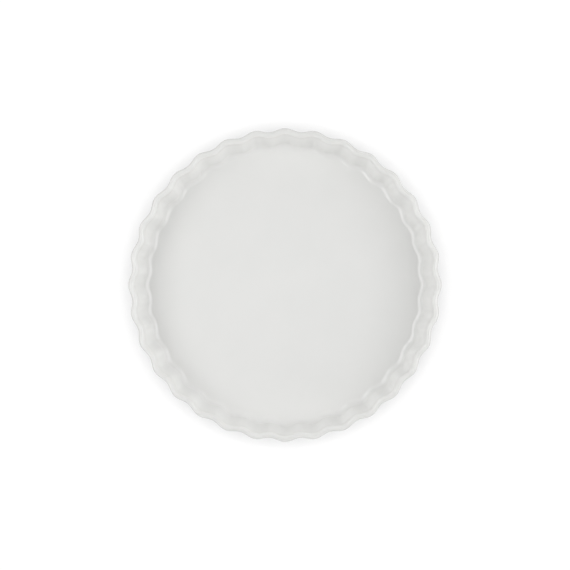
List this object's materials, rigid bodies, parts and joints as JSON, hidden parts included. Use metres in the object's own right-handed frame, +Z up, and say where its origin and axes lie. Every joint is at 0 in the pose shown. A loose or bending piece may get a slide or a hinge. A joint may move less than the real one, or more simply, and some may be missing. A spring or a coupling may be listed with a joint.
{
  "type": "fluted flan dish",
  "caption": "Shallow round pie or flan dish with a scalloped upright wall, a rounded rim, a flat floor and a bare foot ring, for baking and serving.",
  "frame": {"origin": "middle of the foot ring, on the surface that the dish stands on", "axes": "+Z up along the axis of the dish, +X and +Y through flute crests"},
  "size_m": [0.2798, 0.2798, 0.038],
  "materials": {
    "bare_stoneware": "fired clay, matt and slightly sandy",
    "white_glaze": "white glaze, smooth, satin to gloss"
  },
  "bodies": {
    "root": {"stoneware_body": "bare_stoneware", "glaze_coat": "white_glaze", "foot_well_glaze": "white_glaze"}
  },
  "joints": []
}
